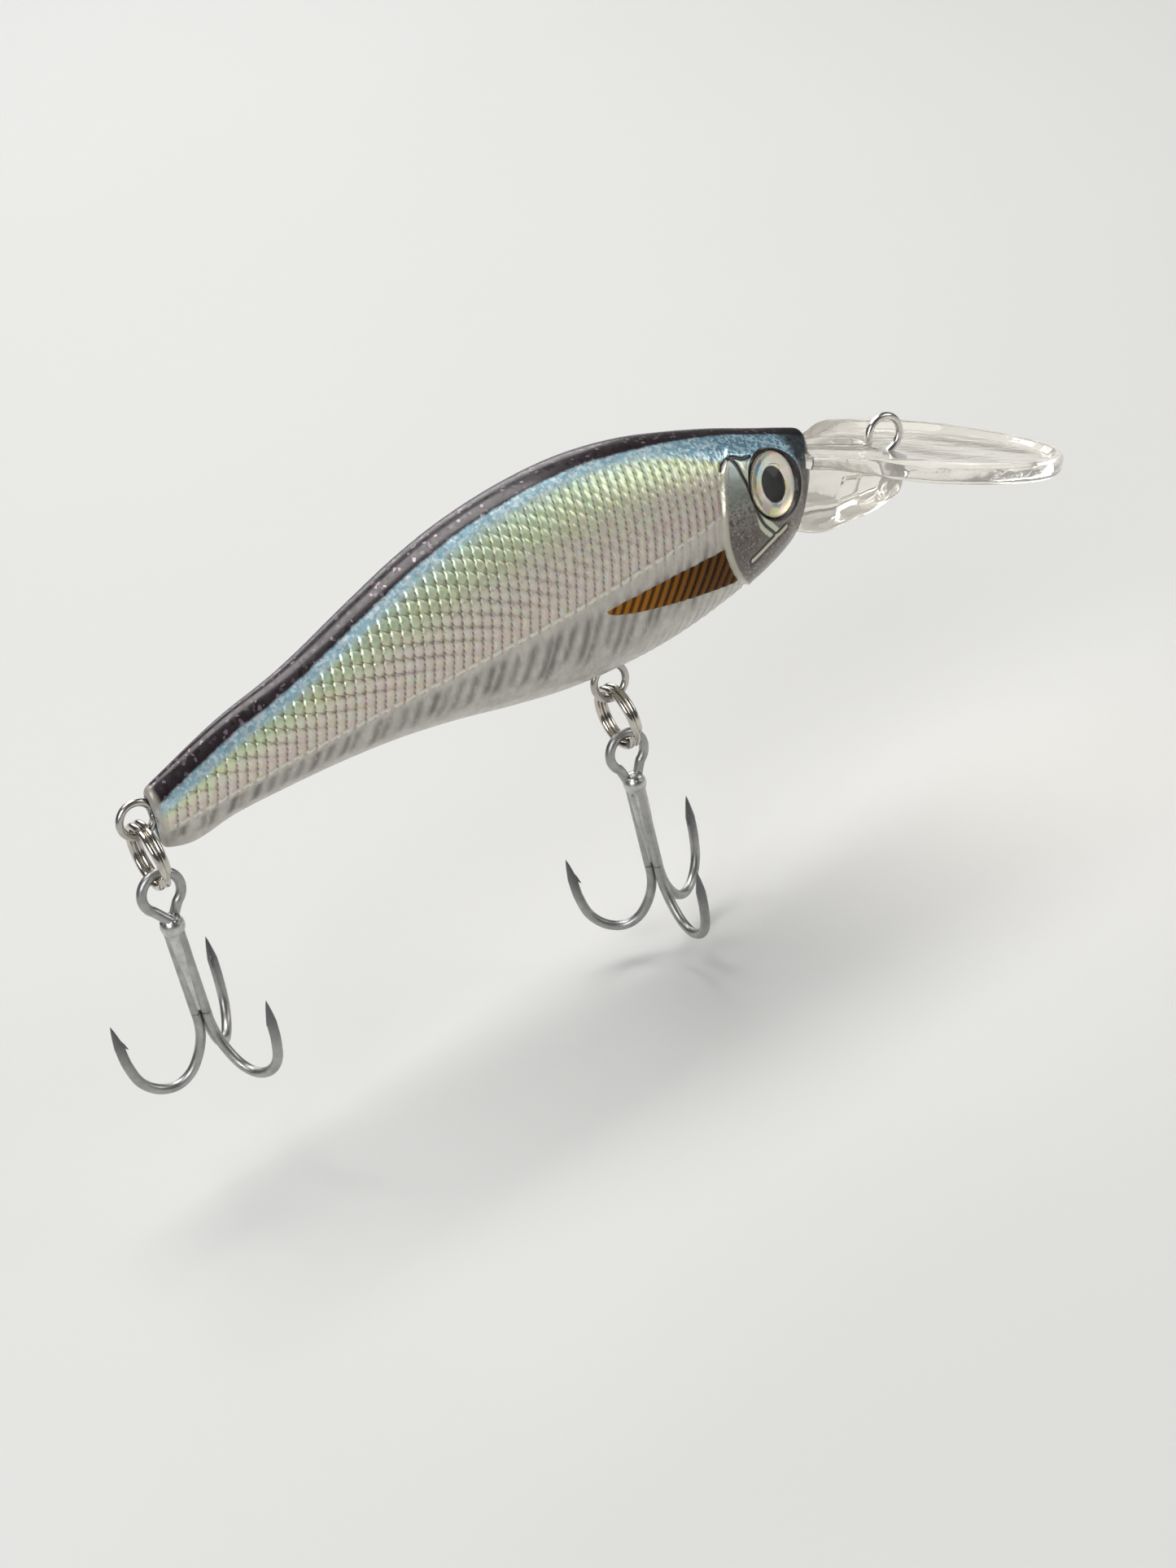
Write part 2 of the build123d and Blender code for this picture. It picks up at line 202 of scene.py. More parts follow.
# ---- material helpers
class Nodes:
    """Short calls for building the node tree of a new material round one Principled shader."""

    def __init__(self, name):
        self.material = bpy.data.materials.new(name)
        self.material.use_nodes = True
        self.tree = self.material.node_tree
        self.tree.nodes.clear()
        self.shader = self.tree.nodes.new("ShaderNodeBsdfPrincipled")
        self.output = self.tree.nodes.new("ShaderNodeOutputMaterial")
        self.tree.links.new(self.shader.outputs["BSDF"], self.output.inputs["Surface"])

    def put(self, socket, value):
        """Sets or feeds one of the shader's own sockets."""
        self.feed(self.shader.inputs[socket], value)

    def feed(self, socket, value):
        if isinstance(value, (int, float)):
            socket.default_value = value
        elif isinstance(value, (tuple, list)):
            opaque = len(value) == 3 and socket.type != "VECTOR"
            socket.default_value = (*value, 1.0) if opaque else tuple(value)
        else:
            self.tree.links.new(value, socket)

    def attribute(self, name):
        node = self.tree.nodes.new("ShaderNodeAttribute")
        node.attribute_name = name
        return node.outputs["Fac"]

    def place(self):
        return self.tree.nodes.new("ShaderNodeTexCoord").outputs["Object"]

    def scaled(self, vector, scale, rotation=(0, 0, 0)):
        node = self.tree.nodes.new("ShaderNodeMapping")
        self.feed(node.inputs["Vector"], vector)
        node.inputs["Scale"].default_value = scale
        node.inputs["Rotation"].default_value = rotation
        return node.outputs["Vector"]

    def math(self, operation, a, b):
        node = self.tree.nodes.new("ShaderNodeMath")
        node.operation = operation
        self.feed(node.inputs[0], a)
        self.feed(node.inputs[1], b)
        return node.outputs["Value"]

    def times(self, a, b):
        return self.math("MULTIPLY", a, b)

    def plus(self, a, b):
        return self.math("ADD", a, b)

    def minus(self, a, b):
        return self.math("SUBTRACT", a, b)

    def most(self, a, b):
        return self.math("MAXIMUM", a, b)

    def step(self, value, low, high):
        """0 below low, 1 above high, smooth between."""
        node = self.tree.nodes.new("ShaderNodeMapRange")
        node.interpolation_type = "SMOOTHSTEP"
        self.feed(node.inputs["Value"], value)
        node.inputs["From Min"].default_value = low
        node.inputs["From Max"].default_value = high
        if low > high:
            node.inputs["From Min"].default_value = high
            node.inputs["From Max"].default_value = low
            node.inputs["To Min"].default_value = 1.0
            node.inputs["To Max"].default_value = 0.0
        return node.outputs["Result"]

    def spread(self, value, low, high):
        """Maps 0..1 to low..high."""
        node = self.tree.nodes.new("ShaderNodeMapRange")
        self.feed(node.inputs["Value"], value)
        node.inputs["To Min"].default_value = low
        node.inputs["To Max"].default_value = high
        return node.outputs["Result"]

    def mix(self, factor, a, b, blend="MIX"):
        node = self.tree.nodes.new("ShaderNodeMix")
        node.data_type = "RGBA"
        node.blend_type = blend
        self.feed(node.inputs["Factor"], factor)
        self.feed(node.inputs[6], a)
        self.feed(node.inputs[7], b)
        return node.outputs[2]

    def ramp(self, value, stops):
        node = self.tree.nodes.new("ShaderNodeValToRGB")
        elements = node.color_ramp.elements
        while len(elements) < len(stops):
            elements.new(0.5)
        for element, (position, colour) in zip(elements, stops):
            element.position = position
            element.color = (*colour, 1.0)
        self.feed(node.inputs["Fac"], value)
        return node.outputs["Color"]

    def noise(self, vector, scale, detail=3.0, roughness=0.5):
        node = self.tree.nodes.new("ShaderNodeTexNoise")
        self.feed(node.inputs["Vector"], vector)
        node.inputs["Scale"].default_value = scale
        node.inputs["Detail"].default_value = detail
        node.inputs["Roughness"].default_value = roughness
        return node.outputs["Fac"]

    def cells(self, vector, scale):
        node = self.tree.nodes.new("ShaderNodeTexVoronoi")
        self.feed(node.inputs["Vector"], vector)
        node.inputs["Scale"].default_value = scale
        return node.outputs["Color"]

    def bump(self, height, strength, distance, normal=None):
        node = self.tree.nodes.new("ShaderNodeBump")
        node.inputs["Strength"].default_value = strength
        node.inputs["Distance"].default_value = distance
        self.feed(node.inputs["Height"], height)
        if normal is not None:
            self.feed(node.inputs["Normal"], normal)
        return node.outputs["Normal"]

    def grey(self, colour):
        node = self.tree.nodes.new("ShaderNodeRGBToBW")
        self.feed(node.inputs["Color"], colour)
        return node.outputs["Val"]


# ---- painted body
BACK_LINE = [
    (-72.7, 0.6), (-70.5, 1.4), (-65.1, 3.3), (-59.1, 4.8), (-51.1, 7.7), (-47.1, 9.1), (-43.5, 10.1),
    (-39.0, 10.9), (-35.0, 11.25), (-31.0, 11.25), (-27.5, 10.85), (-24.0, 10.1), (-21.1, 9.2),
    (-16.1, 7.4), (-12.3, 5.8), (-9.3, 4.6), (-6.5, 3.4),
]
BELLY_LINE = [
    (-72.7, -4.6), (-70.8, -5.2), (-66.1, -4.7), (-61.1, -4.6), (-56.1, -4.7), (-51.1, -5.1), (-46.1, -5.9),
    (-41.1, -7.0), (-36.1, -7.9), (-31.1, -8.25), (-26.1, -8.1), (-23.1, -7.7), (-19.5, -6.9),
    (-16.5, -6.1), (-13.5, -5.45), (-11.0, -4.7), (-6.5, -3.4),
]
WIDTH_LINE = [
    (-72.7, 1.15), (-70.5, 1.55), (-66.1, 2.0), (-59.1, 2.7), (-51.1, 3.6), (-43.5, 4.5), (-36.1, 5.15),
    (-29.1, 5.35), (-21.1, 5.25), (-16.1, 4.9), (-13.2, 4.35), (-11.8, 3.85), (-10.6, 3.15), (-9.2, 2.3),
    (-6.0, 1.6),
]
# rear edge of the gill cover, by height
GILL_EDGE = [
    (-8.5, -15.0), (-6.4, -17.0), (-3.8, -19.2), (-0.45, -20.3), (3.05, -19.6), (6.2, -17.6), (7.4, -15.6),
    (9.0, -11.5),
]
LATERAL_LINE = [(-71.5, -2.6), (-60.3, -1.4), (-43.2, 0.1), (-34.5, 0.9), (-26.7, 1.7), (-20.3, 2.5)]
CHEEK_LINE = [
    (-17.3, 6.1), (-17.05, 5.4), (-16.95, 4.2), (-16.9, 1.9), (-16.4, 0.2), (-15.5, -1.1), (-15.1, -1.7),
]
BROW_LINE = [(-18.6, 5.7), (-17.9, 6.1), (-17.1, 6.05), (-16.3, 5.6), (-15.4, 5.4)]
MOUTH_LINE = [(-18.1, -2.5), (-16.2, -1.95), (-14.0, -1.35)]
EYE_CENTRE = np.array([-13.9, 4.3, 2.6])
EYE_NORMAL = np.array([0.35, 0.92, 0.19]) / np.linalg.norm([0.35, 0.92, 0.19])
EYE_SOCKET = 2.85
SOCKET_DEPTH = 0.85
NOSE_SLOPE = math.radians(24.0)
NOSE_ROOT = np.array([-8.1, 1.65])
COLUMN_PITCH = 0.86
ROW_PITCH = 1.02
COLUMN_LEAN = 0.25
# height of the body's middle line, its tail end, and how far behind the lip's root the paint stops
CHINE_Z = 0.8
TAIL_X = -72.55
NOSE_SETBACK = 0.85
NOSE_ROUND, TAIL_ROUND = 0.9, 0.45
DASH_PITCH = 1.12
FIN_TIP, FIN_LENGTH = -32.6, 12.6
FIN_RIB_PITCH, FIN_RIB_LEAN = 0.95, 0.50
STROKE_PAIR_PITCH, STROKE_WIDTH = 2.62, 0.44


def line_distance(points, x, z):
    """Shortest side-view distance from each place to a line through the points."""
    p = smooth_curve(points, 60)
    best = np.full(x.shape, 1e9)
    for a, b in zip(p[:-1], p[1:]):
        d = b - a
        t = np.clip(((x - a[0]) * d[0] + (z - a[1]) * d[1]) / np.dot(d, d), 0, 1)
        best = np.minimum(best, np.hypot(x - a[0] - t * d[0], z - a[1] - t * d[1]))
    return best


def soft(value, low, high):
    """0 at low, 1 at high, smooth between."""
    t = np.clip((value - low) / (high - low), 0, 1)
    return t * t * (3 - 2 * t)


def rounding(distance, radius):
    """How far a rounded end draws in, by distance from the end."""
    return radius * (1 - np.sqrt(np.clip(1 - (1 - np.clip(distance / radius, 0, 1)) ** 2, 0, 1)))


def body_grid(stations, around):
    """Bare flank: along the body by round from back to belly, nose end square to the lip."""
    t = np.linspace(0, 1, stations)
    # distance along the chine: sections stand upright at the tail and lean with the lip at the nose
    nose_x = NOSE_ROOT[0] - (NOSE_ROOT[1] - CHINE_Z) * math.tan(NOSE_SLOPE) - NOSE_SETBACK
    base = TAIL_X + t * (nose_x - TAIL_X)
    lean = NOSE_SLOPE * soft(base, -26.0, -9.0)
    top = np.full(stations, 6.0)
    low = np.full(stations, -6.0)
    for _ in range(40):
        top = (smooth_value(base + top * np.sin(lean), BACK_LINE) - CHINE_Z) / np.cos(lean)
        low = (smooth_value(base + low * np.sin(lean), BELLY_LINE) - CHINE_Z) / np.cos(lean)
    width = smooth_value(base, WIDTH_LINE)
    # rounded ends
    shrink = rounding(base[-1] - base, NOSE_ROUND) * 0.9 + rounding(base - base[0], TAIL_ROUND)
    middle = (top + low) / 2
    rise = (top - low) / 2 - shrink
    width = np.maximum(width - shrink * 0.9, 0.15)
    a = np.linspace(0, np.pi, around)
    # a touch fuller than an ellipse low on the flank
    swell = 1 - 0.03 * np.sin(a) * np.sin(2 * a)
    k = middle[:, None] + rise[:, None] * np.cos(a)[None, :]
    y = width[:, None] * np.sin(a)[None, :] * swell[None, :]
    x = base[:, None] + k * np.sin(lean)[:, None]
    z = CHINE_Z + k * np.cos(lean)[:, None]
    return np.stack((x, y, z), axis=2)


def grid_normals(p):
    """Outward unit normal at each place of a flank."""
    du = np.gradient(p, axis=0)
    dv = np.gradient(p, axis=1)
    n = np.cross(dv, du)
    length = np.linalg.norm(n, axis=2)[..., None]
    n = n / np.maximum(length, 1e-9)
    flip = np.sign(np.sum(n[:, n.shape[1] // 2, 1]))
    return n * (flip if flip else 1)


def painted_flank(name, side, material):
    """One body half with scales, gill cover, fin, lateral line and eye socket in its surface."""
    p = body_grid(560, 166)
    n = grid_normals(p)
    # the seam keeps a sideways-free normal so the two halves meet
    n[:, 0, 1] = 0
    n[:, -1, 1] = 0
    n /= np.linalg.norm(n, axis=2)[..., None]
    x, z = p[..., 0], p[..., 2]
    from_back = np.zeros(x.shape)
    from_back[:, 1:] = np.cumsum(np.linalg.norm(np.diff(p, axis=1), axis=2), axis=1)
    girth = from_back[:, -1:]
    gill = x - smooth_value(z, GILL_EDGE)
    lateral = z - smooth_value(np.clip(x, -71.5, -20.3), LATERAL_LINE)
    behind = soft(-gill, 0.15, 0.5)

    # overlapping scales in leaning columns
    column = (x - COLUMN_LEAN * z) / COLUMN_PITCH + 100.0
    u = column - np.floor(column)
    row = (from_back - 0.95 * COLUMN_PITCH * u) / ROW_PITCH + 0.45 * np.floor(column)
    v = row - np.floor(row)
    edge_u = soft(u, 0.0, 0.16) * (1 - 0.65 * soft(u, 0.25, 1.0))
    edge_v = soft(v, 0.0, 0.22) * (1 - 0.55 * soft(v, 0.45, 1.0))
    split = 0.75 - 0.40 * soft(x, -48.0, -26.0)
    scale = edge_u * (1 - split + split * edge_v)
    fade_low = soft(lateral, -0.2, 2.6)
    height = scale * fade_low + edge_u * 0.8 * (1 - fade_low)
    near_gill = soft(x, -34.0, -24.0)
    below = soft(lateral, -0.6, -0.1) + (1 - soft(lateral, -0.6, -0.1)) * near_gill * 0.75
    coverage = behind * below * soft(from_back, 2.4, 3.1) * soft(x, -72.2, -71.4)
    relief = 0.15 * (height - 0.5) * coverage

    # lateral line: a raised row of dashes
    dash = (x + 80) / DASH_PITCH
    dash = dash - np.floor(dash)
    line = np.exp(-((lateral / 0.17) ** 2)) * soft(dash, 0.0, 0.14) * (1 - soft(dash, 0.72, 0.86))
    line *= soft(x, -71.8, -71.2) * behind * (1 - 0.35 * soft(x, -30, -22))
    relief += 0.10 * line

    # gill cover
    rim = np.exp(-((gill / 0.32) ** 2))
    low_enough = soft(from_back, 2.2, 3.6)
    relief += low_enough * (0.22 * soft(gill, -0.25, 0.15) * (1 - soft(gill, 1.2, 5.0) * 0.6) + 0.07 * rim)
    relief -= low_enough * 0.10 * np.exp(-(((gill + 0.45) / 0.22) ** 2))
    cheek = line_distance(CHEEK_LINE, x, z)
    brow = line_distance(BROW_LINE, x, z)
    mouth = line_distance(MOUTH_LINE, x, z)
    crease = np.exp(-((cheek / 0.13) ** 2)) + np.exp(-((brow / 0.12) ** 2))
    relief -= 0.12 * np.clip(crease, 0, 1)
    relief += 0.08 * np.exp(-((mouth / 0.16) ** 2)) - 0.10 * np.exp(-(((mouth - 0.33) / 0.12) ** 2))

    # pectoral fin: a blade of leaning ribs
    fin_t = (x - FIN_TIP) / FIN_LENGTH
    fin_top = -0.45 + 0.25 * np.clip(fin_t, 0, 1) + 0.1 * np.sin(np.clip(fin_t, 0, 1) * np.pi)
    fin_bottom = -0.62 - 3.35 * np.clip(fin_t, 0, 1) ** 0.62
    inside = np.minimum(np.minimum(fin_top - z, z - fin_bottom), (x - FIN_TIP) * 0.6)
    inside = np.minimum(inside, -gill - 0.35)
    fin = soft(inside, -0.08, 0.12)
    rib_u = (x - FIN_RIB_LEAN * z + 80 + 0.10 * (fin_top - z)) / FIN_RIB_PITCH
    rib_u = rib_u - np.floor(rib_u)
    ridge = np.exp(-(((rib_u - 0.5) / 0.24) ** 2))
    relief = relief * (1 - fin) + fin * (0.10 + 0.10 * ridge)

    # eye socket and its rim
    rel = p - EYE_CENTRE
    out = rel @ EYE_NORMAL
    radial = np.linalg.norm(rel - out[..., None] * EYE_NORMAL, axis=2)
    relief += 0.12 * np.exp(-(((radial - EYE_SOCKET - 0.25) / 0.22) ** 2)) * (out > -3)
    q = p + n * relief[..., None]
    rel = q - EYE_CENTRE
    out = rel @ EYE_NORMAL
    sink = soft(radial, EYE_SOCKET + 0.10, EYE_SOCKET - 0.06) * (out > -3)
    q = q - (np.maximum(out + SOCKET_DEPTH + 0.02, 0) * sink)[..., None] * EYE_NORMAL

    # mirrored to its side, with both edges exactly on the seam
    q[..., 1] *= side
    q[:, 0, 1] = 0
    q[:, -1, 1] = 0
    rows, columns = q.shape[:2]
    faces = grid_faces(rows, columns)
    if side > 0:
        faces = faces[:, ::-1]
    verts = q.reshape(-1, 3)
    # flat end caps between each end's outline and the mid-plane
    quads = [faces]
    inner_count = columns - 2
    for number, (end, turn) in enumerate(((0, side), (rows - 1, -side))):
        ring = np.arange(1, columns - 1) + end * columns
        inner = len(verts) + number * inner_count + np.arange(inner_count)
        cap = np.stack((ring[:-1], ring[1:], inner[1:], inner[:-1]), axis=1)
        quads.append(cap if turn > 0 else cap[:, ::-1])
    verts = np.vstack((verts, q[0, 1:-1] * (1, 0, 1), q[-1, 1:-1] * (1, 0, 1)))
    obj = mesh_object(name, verts, np.vstack(quads), material)
    extra = len(verts) - rows * columns

    # soft slanted brush strokes on the belly, in loose pairs
    stroke = np.zeros_like(x)
    depth = -lateral
    reach = depth / np.maximum(depth + np.clip(girth - from_back, 0, None) * 0.8, 0.1)
    for centre in np.arange(-71.0, -17.5, STROKE_PAIR_PITCH):
        for offset in (-0.52, 0.52):
            at = centre + offset + rng.uniform(-0.25, 0.25)
            lean = 0.42 + rng.uniform(-0.06, 0.06)
            length = rng.uniform(0.75, 1.0)
            strength = rng.uniform(0.55, 1.0)
            across = (x - at + lean * depth) / STROKE_WIDTH
            stroke = np.maximum(
                stroke,
                strength
                * np.exp(-(across**2))
                * soft(reach, 0.06, 0.2)
                * (1 - soft(reach, 0.5 * length, 0.72 * length)),
            )
    fields = dict(
        from_back=from_back,
        girth=np.broadcast_to(girth, from_back.shape),
        lateral=lateral,
        gill=gill,
        rim_cover=low_enough,
        cheek=cheek,
        brow=brow,
        mouth=mouth,
        scale_height=height,
        scale_cover=coverage,
        dash=line,
        fin=fin,
        fin_ridge=ridge,
        eye_radius=np.where(out > -3, radial, 9.0),
        along=x,
        stroke=stroke,
    )
    # the caps' own vertices lie inside the body and need no values
    for label, values in fields.items():
        float_attribute(obj, label, np.concatenate((values.ravel(), np.zeros(extra))))
    return obj


# pearl from below the blue band down to the lateral line
PEARL_STOPS = [
    (0.0, (0.54, 0.70, 0.62)),
    (0.13, (0.62, 0.75, 0.50)),
    (0.30, (0.70, 0.76, 0.50)),
    (0.48, (0.72, 0.68, 0.55)),
    (0.70, (0.66, 0.57, 0.50)),
    (1.0, (0.62, 0.54, 0.47)),
]
# gill cover from the back down to the throat
HEAD_STOPS = [
    (0.20, (0.30, 0.36, 0.36)),
    (0.32, (0.30, 0.34, 0.30)),
    (0.42, (0.20, 0.19, 0.16)),
    (0.52, (0.105, 0.08, 0.066)),
    (0.80, (0.10, 0.075, 0.06)),
    (0.97, (0.16, 0.12, 0.09)),
]


def body_material():
    g = Nodes("lure_paint")
    place = g.place()
    from_back = g.attribute("from_back")
    girth = g.attribute("girth")
    lateral = g.attribute("lateral")
    gill = g.attribute("gill")
    along = g.attribute("along")
    cover = g.attribute("scale_cover")
    height = g.attribute("scale_height")

    cloud = g.noise(place, 900, 4.0, 0.6)
    fine = g.noise(place, 5200, 3.0, 0.6)
    wander = g.times(g.minus(cloud, 0.5), 0.9)
    share = g.math("DIVIDE", from_back, girth)

    # pearl of the flank, from green-gold high up to warm silver low down
    below_band = g.most(g.minus(from_back, 2.7), 0.0)
    above_line = g.most(lateral, 0.0)
    fall = g.math("DIVIDE", below_band, g.plus(g.plus(below_band, above_line), 0.1))
    flank = g.ramp(g.plus(fall, g.times(wander, 0.3)), PEARL_STOPS)
    glint_cell = g.cells(place, 2300)
    glint = g.grey(glint_cell)
    flank = g.mix(g.spread(glint, 0.0, 0.35), flank, glint_cell, "SOFT_LIGHT")
    # painted shade: the gaps between the scales are darkened brown, the shade that falls in the grooves
    shaded_groove = g.times(cover, g.step(height, 0.52, 0.10))
    groove_shade_colour = g.mix(g.step(along, -62.0, -22.0), (0.17, 0.10, 0.075), (0.115, 0.095, 0.08))
    flank = g.mix(g.times(shaded_groove, 0.85), flank, groove_shade_colour)
    # painted highlight: the raised crests of the scales are lightened where the flakes glint
    crest_highlight = g.times(cover, g.step(height, 0.62, 0.9))
    crest_highlight = g.times(crest_highlight, g.step(glint, 0.25, 0.6))
    flank = g.mix(g.times(crest_highlight, 0.5), flank, (0.80, 0.80, 0.68))

    # milky belly with soft grey strokes
    belly = g.mix(g.step(cloud, 0.35, 0.7), (0.47, 0.45, 0.395), (0.58, 0.56, 0.50))
    streak = g.noise(g.scaled(place, (2600, 2600, 520), (0, 0.4, 0)), 1.0, 3.0, 0.6)
    belly = g.mix(g.times(g.step(streak, 0.45, 0.7), 0.35), belly, (0.36, 0.335, 0.295))
    stroke = g.times(g.attribute("stroke"), g.step(streak, 0.15, 0.50))
    belly = g.mix(g.times(stroke, 0.92), belly, (0.125, 0.108, 0.097))
    low = g.step(g.plus(lateral, g.times(wander, 0.8)), 0.35, -0.45)
    ribs = g.times(cover, g.step(lateral, -3.5, -0.4))
    low = g.times(low, g.minus(1.0, g.times(ribs, 0.5)))
    colour = g.mix(low, flank, belly)

    # lateral line dashes
    colour = g.mix(g.step(g.attribute("dash"), 0.25, 0.6), colour, (0.72, 0.69, 0.60))

    # blue glitter band, wider over the head
    widen = g.step(along, -26.0, -15.0)
    blue_low = g.plus(2.75, g.times(widen, 1.5))
    blue_edge = g.plus(blue_low, g.times(wander, 0.9))
    blue = g.step(g.minus(from_back, blue_edge), 0.35, -0.45)
    flake_value = g.grey(g.cells(place, 4200))
    blue_base = g.mix(widen, (0.42, 0.68, 0.80), (0.16, 0.33, 0.45))
    blue_bright = g.mix(widen, (0.80, 0.95, 1.0), (0.55, 0.78, 0.86))
    blue_colour = g.mix(g.step(flake_value, 0.35, 0.75), blue_base, blue_bright)
    colour = g.mix(blue, colour, blue_colour)

    # black-violet back with sparse glitter
    black_low = g.minus(1.8, g.times(widen, 0.7))
    black_edge = g.plus(black_low, g.times(wander, 0.5))
    black = g.step(g.minus(from_back, black_edge), 0.28, -0.12)
    speck = g.step(g.grey(g.cells(place, 3600)), 0.78, 0.9)
    black_colour = g.mix(g.times(speck, 0.6), (0.018, 0.011, 0.014), (0.35, 0.27, 0.32))
    colour = g.mix(black, colour, black_colour)

    # gill cover: grey-green above, speckled brown below
    plate = g.step(gill, -0.12, 0.12)
    head = g.ramp(g.plus(share, g.times(wander, 0.10)), HEAD_STOPS)
    peppered = g.step(g.noise(place, 3300, 2.0, 0.7), 0.50, 0.62)
    head = g.mix(g.times(peppered, g.step(share, 0.30, 0.45)), head, (0.055, 0.038, 0.03))
    dust = g.step(g.noise(place, 4700, 1.0, 0.5), 0.60, 0.70)
    head = g.mix(g.times(dust, 0.6), head, (0.42, 0.40, 0.33))
    not_blue = g.minus(1.0, g.most(blue, black))
    colour = g.mix(g.times(plate, not_blue), colour, head)
    # pale rear rim of the gill cover
    rim = g.times(g.step(gill, -0.50, -0.20), g.step(gill, 0.30, 0.08))
    rim = g.times(rim, g.attribute("rim_cover"))
    colour = g.mix(g.times(g.times(rim, not_blue), 0.8), colour, (0.50, 0.48, 0.38))
    # cream bar between the cheek line and the eye
    cheek = g.attribute("cheek")
    bar = g.times(g.step(cheek, 0.62, 0.48), g.step(along, -17.05, -16.8))
    bar = g.times(bar, g.step(lateral, -4.6, -3.6))
    colour = g.mix(g.times(g.times(bar, not_blue), 0.85), colour, (0.66, 0.70, 0.52))
    dark = g.most(g.step(cheek, 0.20, 0.10), g.step(g.attribute("brow"), 0.19, 0.09))
    # dark ring round the eye and dark snout
    dark = g.most(dark, g.step(g.attribute("eye_radius"), 3.12, 2.98))
    snout = g.step(g.plus(along, wander), -11.5, -10.5)
    dark = g.most(dark, g.times(snout, 0.93))
    colour = g.mix(dark, colour, (0.014, 0.010, 0.010))
    mouth = g.attribute("mouth")
    colour = g.mix(g.step(mouth, 0.50, 0.30), colour, (0.03, 0.022, 0.018))
    colour = g.mix(g.step(mouth, 0.22, 0.14), colour, (0.62, 0.60, 0.47))

    # fin: brown ribs with golden ridges
    fin = g.attribute("fin")
    ridge = g.attribute("fin_ridge")
    fin_brown = g.mix(g.step(along, -32.0, -22.5), (0.090, 0.031, 0.003), (0.020, 0.007, 0.001))
    fin_gold = g.mix(g.step(along, -31.0, -21.0), (0.34, 0.135, 0.010), (0.115, 0.042, 0.004))
    fin_colour = g.mix(g.step(ridge, 0.12, 0.55), fin_brown, fin_gold)
    fin_colour = g.mix(g.times(g.step(fine, 0.5, 0.7), 0.25), fin_colour, (0.24, 0.08, 0.003))
    colour = g.mix(g.step(fin, 0.35, 0.75), colour, fin_colour)

    # unpainted end of the tail
    clear = g.step(g.plus(along, g.times(wander, 0.5)), -71.7, -72.2)
    colour = g.mix(g.times(clear, 0.8), colour, (0.45, 0.43, 0.37))
    g.put("Base Color", colour)

    painted_dark = g.most(black, dark)
    pearl = g.minus(1.0, g.most(painted_dark, g.most(fin, low)))
    metallic = g.plus(g.times(pearl, 0.42), g.times(blue, 0.20))
    g.put("Metallic", g.plus(metallic, g.times(g.times(black, speck), 0.4)))
    rough = g.plus(g.spread(glint, 0.22, 0.44), g.times(low, 0.12))
    g.put("Roughness", g.plus(rough, g.times(shaded_groove, 0.15)))
    dull = g.most(g.times(fin, 0.5), g.times(black, 0.38))
    g.put("Coat Weight", g.minus(0.55, dull))
    g.put("Specular IOR Level", g.spread(fin, 0.5, 0.08))
    g.put("Coat Roughness", 0.07)
    g.put("Coat IOR", 1.5)
    # flake sits at slightly different tilts under the clear coat
    normal = g.bump(flake_value, 0.10, 0.00006)
    g.put("Normal", g.bump(fine, 0.12, 0.00005, normal))
    return g.material


paint = body_material()
for side_name, side in (("right", -1), ("left", 1)):
    skin = painted_flank("painted_half_" + side_name, side, paint)
    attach(skin, "lure")
    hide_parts("body_shell_" + side_name)


# ---- metals
def wire_material(name, colour, roughness, scratch, scale, point_colour=None):
    g = Nodes(name)
    place = g.place()
    cloud = g.noise(place, scale, 4.0, 0.6)
    grain = g.noise(place, scale * 6.0, 3.0, 0.7)
    tint = g.mix(g.step(cloud, 0.3, 0.7), tuple(c * 0.72 for c in colour), colour)
    bright = tuple(min(1, c * 1.25) for c in colour)
    tint = g.mix(g.times(g.step(grain, 0.55, 0.75), 0.4), tint, bright)
    if point_colour is not None:
        tint = g.mix(g.step(g.attribute("point"), 0.25, 0.85), tint, point_colour)
    g.put("Base Color", tint)
    g.put("Metallic", 1.0)
    g.put("Roughness", g.spread(grain, roughness, roughness + scratch))
    g.put("Normal", g.bump(grain, 0.15, 0.00003))
    return g.material


hanger_steel = wire_material("hanger_wire_steel", (0.60, 0.58, 0.54), 0.18, 0.14, 700)
# painted light: the tie wire gets a lighter copy of the hanger steel, for the light it catches on top of the
# lip
lit_tie_steel = wire_material("lit_copy_of_hanger_steel", (0.74, 0.73, 0.70), 0.16, 0.12, 1400)
ring_nickel = wire_material("ring_nickel", (0.66, 0.62, 0.56), 0.08, 0.12, 900)
hook_nickel = wire_material("hook_smoked_nickel", (0.46, 0.46, 0.45), 0.30, 0.16, 800, (0.17, 0.17, 0.175))
braze_metal = wire_material("braze_metal", (0.62, 0.62, 0.60), 0.24, 0.16, 1200)
ballast_metal = wire_material("ballast_metal", (0.30, 0.30, 0.31), 0.45, 0.2, 600)


